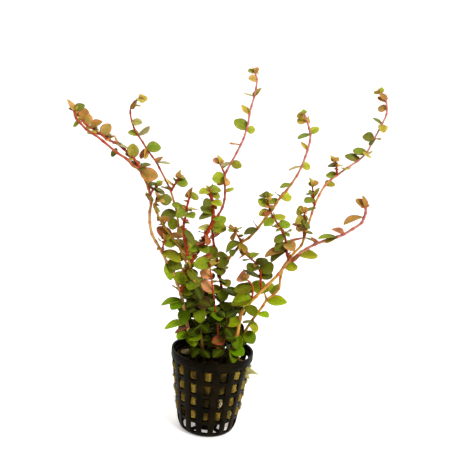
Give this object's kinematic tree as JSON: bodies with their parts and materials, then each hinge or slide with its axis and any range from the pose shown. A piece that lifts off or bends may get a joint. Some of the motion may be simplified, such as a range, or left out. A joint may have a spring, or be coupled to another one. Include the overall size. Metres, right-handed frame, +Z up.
{
  "type": "aquarium stem plant in a net pot",
  "caption": "Bunch of orange juice rotala: thin pink and tan stems with small round green and rosy leaves, rooted in mineral wool in a black net pot.",
  "frame": {"origin": "centre of the pot's underside, on the surface that it stands on", "axes": "+Z up; +X to the right as the plant is seen from the front; -Y towards the viewer"},
  "size_m": [0.184, 0.0641, 0.2168],
  "materials": {
    "pot": "satin",
    "wool": "matte, fibrous",
    "rotala": "satin",
    "dry_leaf": "matte",
    "granule": "matte"
  },
  "bodies": {
    "root": {"net_pot": "pot", "wool_plug": "wool", "wool_wisp_upper": "wool", "wool_wisp_lower": "wool", "dry_leaf": "dry_leaf", "pale_granule": "granule", "left_stem": "rotala", "left_upper_branch": "rotala", "left_dark_twig": "rotala", "left_red_shoot": "rotala", "second_left_stem": "rotala", "second_left_shoot": "rotala", "inner_left_stem": "rotala", "inner_left_shoot": "rotala", "red_branch": "rotala", "tall_centre_stem": "rotala", "pink_bud_shoot": "rotala", "centre_right_branch": "rotala", "centre_right_twig": "rotala", "short_red_stem": "rotala", "low_right_stem": "rotala", "upright_red_shoot": "rotala", "dark_red_shoot": "rotala", "pink_leaf_shoot": "rotala", "far_right_stem": "rotala", "far_right_upper_shoot": "rotala", "far_right_inner_shoot": "rotala", "far_right_low_shoot": "rotala", "right_lower_shoot": "rotala", "shaded_stem_left": "rotala", "shaded_stem_middle": "rotala", "shaded_stem_right": "rotala", "shaded_stem_front": "rotala"}
  },
  "joints": []
}
